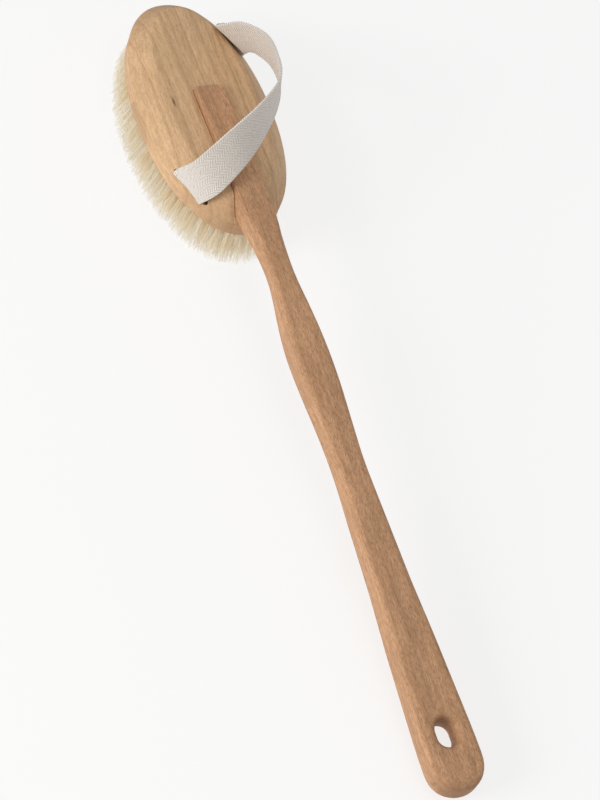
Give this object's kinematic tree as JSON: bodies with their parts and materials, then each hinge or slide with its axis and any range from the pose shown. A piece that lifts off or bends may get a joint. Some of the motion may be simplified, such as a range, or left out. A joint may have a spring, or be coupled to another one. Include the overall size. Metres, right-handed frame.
{
  "type": "body dry brush",
  "caption": "Long-handled body dry brush: oval beech head with natural bristles, a cotton hand strap and a handle that pulls out of the head.",
  "frame": {"origin": "on the plane of the bristle tips, under the centre of the head", "axes": "+Y along the head towards its free tip, the handle runs to -Y; +Z out of the back of the head; +X across the head"},
  "size_m": [0.0726, 0.4402, 0.0765],
  "materials": {
    "beech_head": "fine sanded, bare",
    "beech_handle": "fine sanded, bare",
    "cotton_tape": "herringbone weave, undyed",
    "bristle": "natural bristle, cream"
  },
  "bodies": {
    "head": {"head_block": "beech_head", "hand_strap": "cotton_tape", "bristle_row_1": "bristle", "bristle_row_2": "bristle", "bristle_row_3": "bristle", "bristle_row_4": "bristle", "bristle_row_5": "bristle", "bristle_row_6": "bristle", "bristle_row_centre": "bristle"},
    "handle": {"handle": "beech_handle"}
  },
  "joints": [
    {"name": "handle_slide", "type": "slide", "parent": "head", "child": "handle", "axis": [0, -1, 0], "range_m": [0, 0.09]}
  ]
}
